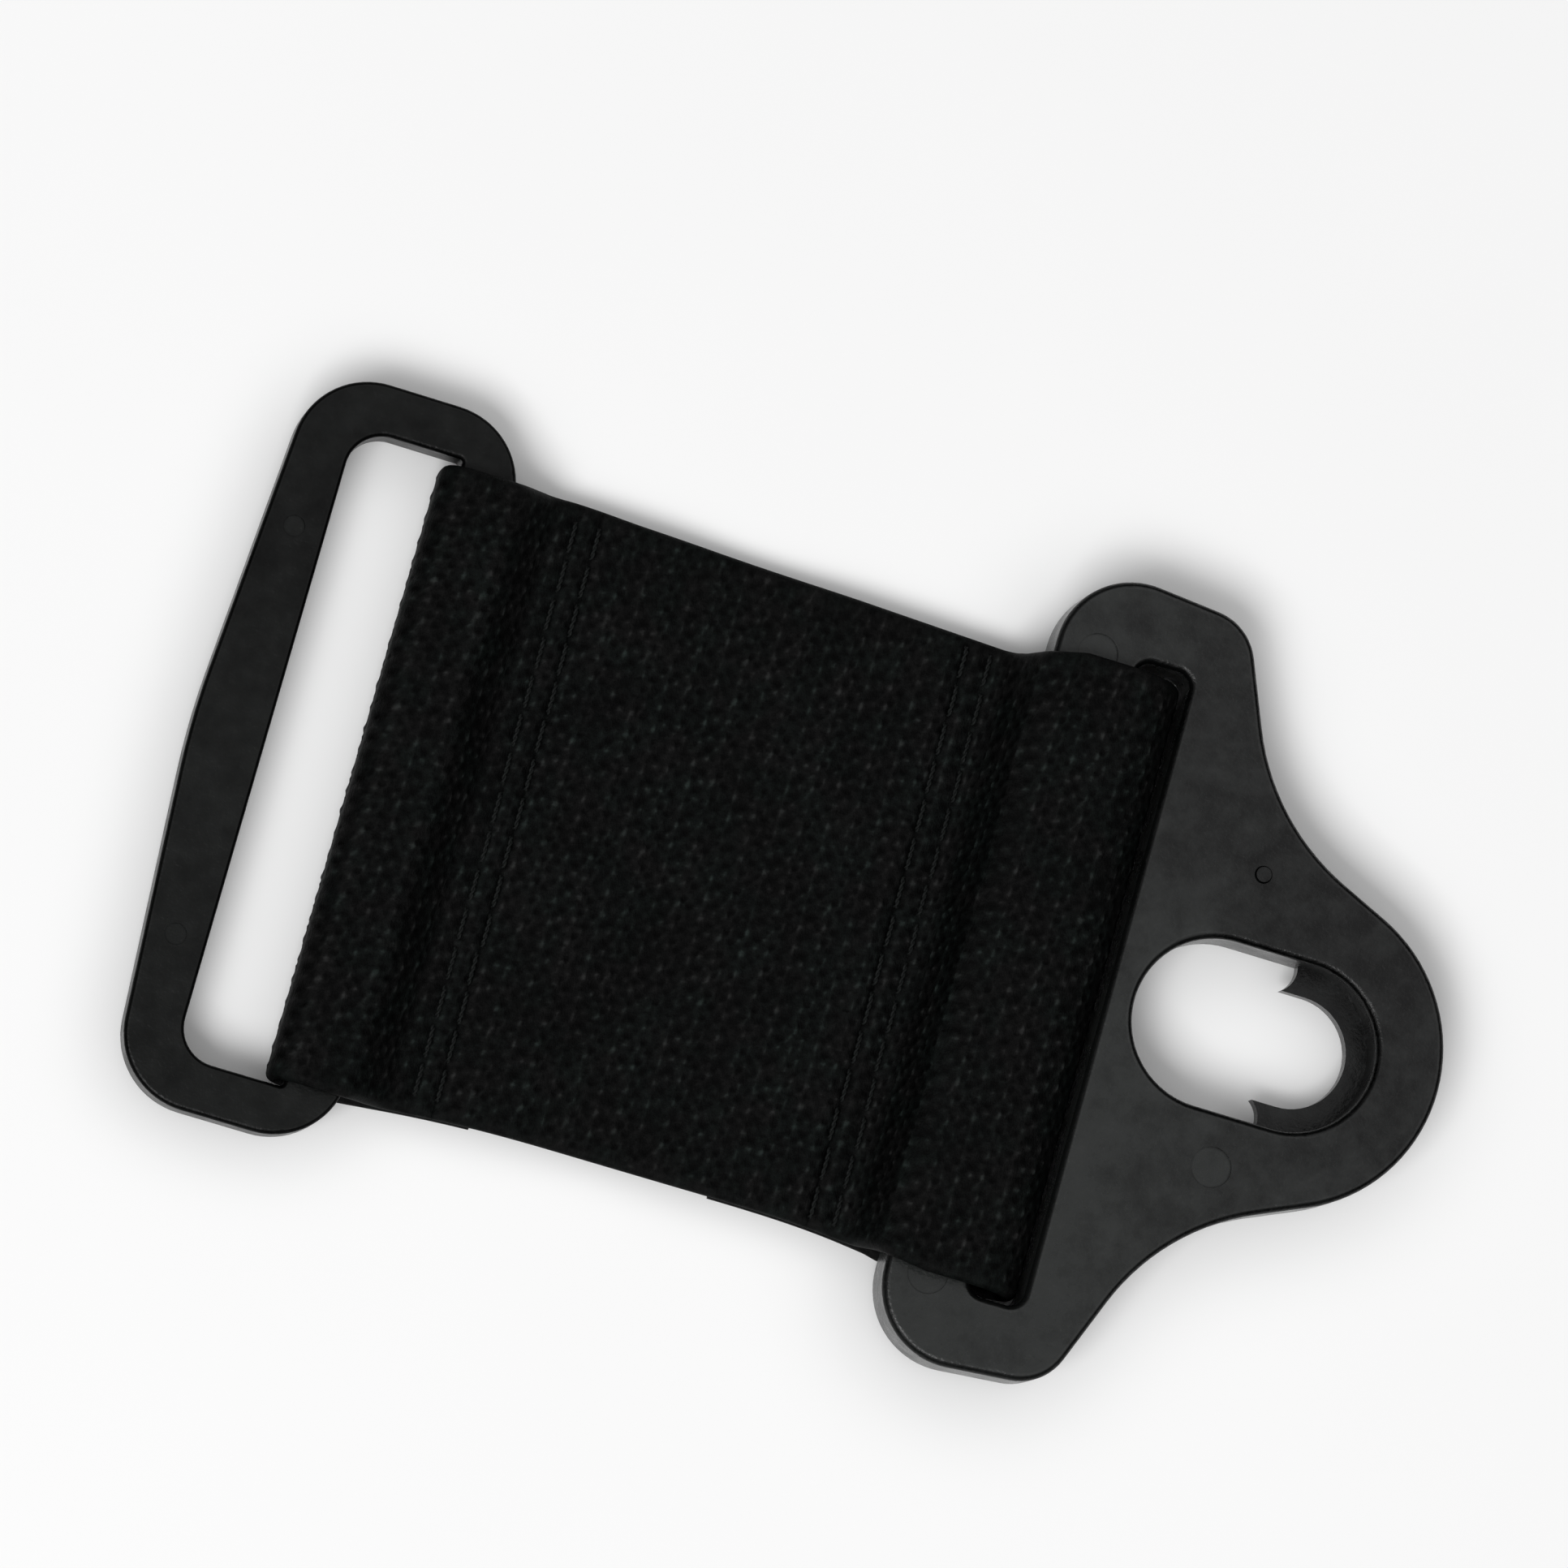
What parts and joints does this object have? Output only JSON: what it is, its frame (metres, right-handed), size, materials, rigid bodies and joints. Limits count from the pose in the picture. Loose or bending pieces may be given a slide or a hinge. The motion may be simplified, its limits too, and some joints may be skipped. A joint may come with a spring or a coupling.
{
  "type": "buckle slider",
  "caption": "Short wide elastic strap joining a flat slotted webbing ring to a keyhole bracket that snaps over a headed stud.",
  "frame": {"origin": "middle of the footprint, on the plane that the webbing's back rests on", "axes": "+X along the strap from the ring to the bracket's nose, +Y across the webbing, +Z out of the front face"},
  "size_m": [0.1, 0.0626, 0.0075],
  "materials": {
    "ring_plastic": "satin black moulded plastic with a fine grain",
    "bracket_plastic": "satin charcoal moulded plastic with a fine grain",
    "webbing": "coarse black woven elastic",
    "thread": "black twisted polyester sewing thread"
  },
  "bodies": {
    "strap_bracket_end": {"webbing_bracket_half": "webbing", "needle_thread_bracket_inner": "thread", "bobbin_thread_bracket_inner": "thread", "needle_thread_bracket_outer": "thread", "bobbin_thread_bracket_outer": "thread"},
    "strap_ring_end": {"webbing_ring_half": "webbing", "needle_thread_ring_inner": "thread", "bobbin_thread_ring_inner": "thread", "needle_thread_ring_outer": "thread", "bobbin_thread_ring_outer": "thread"},
    "ring": {"slotted_ring": "ring_plastic", "webbing_ring_loop": "webbing"},
    "bracket": {"keyhole_bracket": "bracket_plastic", "webbing_bracket_loop": "webbing"}
  },
  "joints": [
    {"name": "bracket_swing", "type": "hinge", "parent": "strap_bracket_end", "child": "bracket", "pos_m": [0.0094, 0, 0.0014], "axis": [0, -1, 0], "range_deg": [-90, 90]},
    {"name": "elastic_stretch", "type": "slide", "parent": "strap_bracket_end", "child": "strap_ring_end", "axis": [-1, 0, 0], "range_m": [0, 0.012], "stiffness_N_per_m": 600},
    {"name": "ring_swing", "type": "hinge", "parent": "strap_ring_end", "child": "ring", "pos_m": [-0.0283, 0, 0.0014], "axis": [0, 1, 0], "range_deg": [-90, 90]}
  ]
}
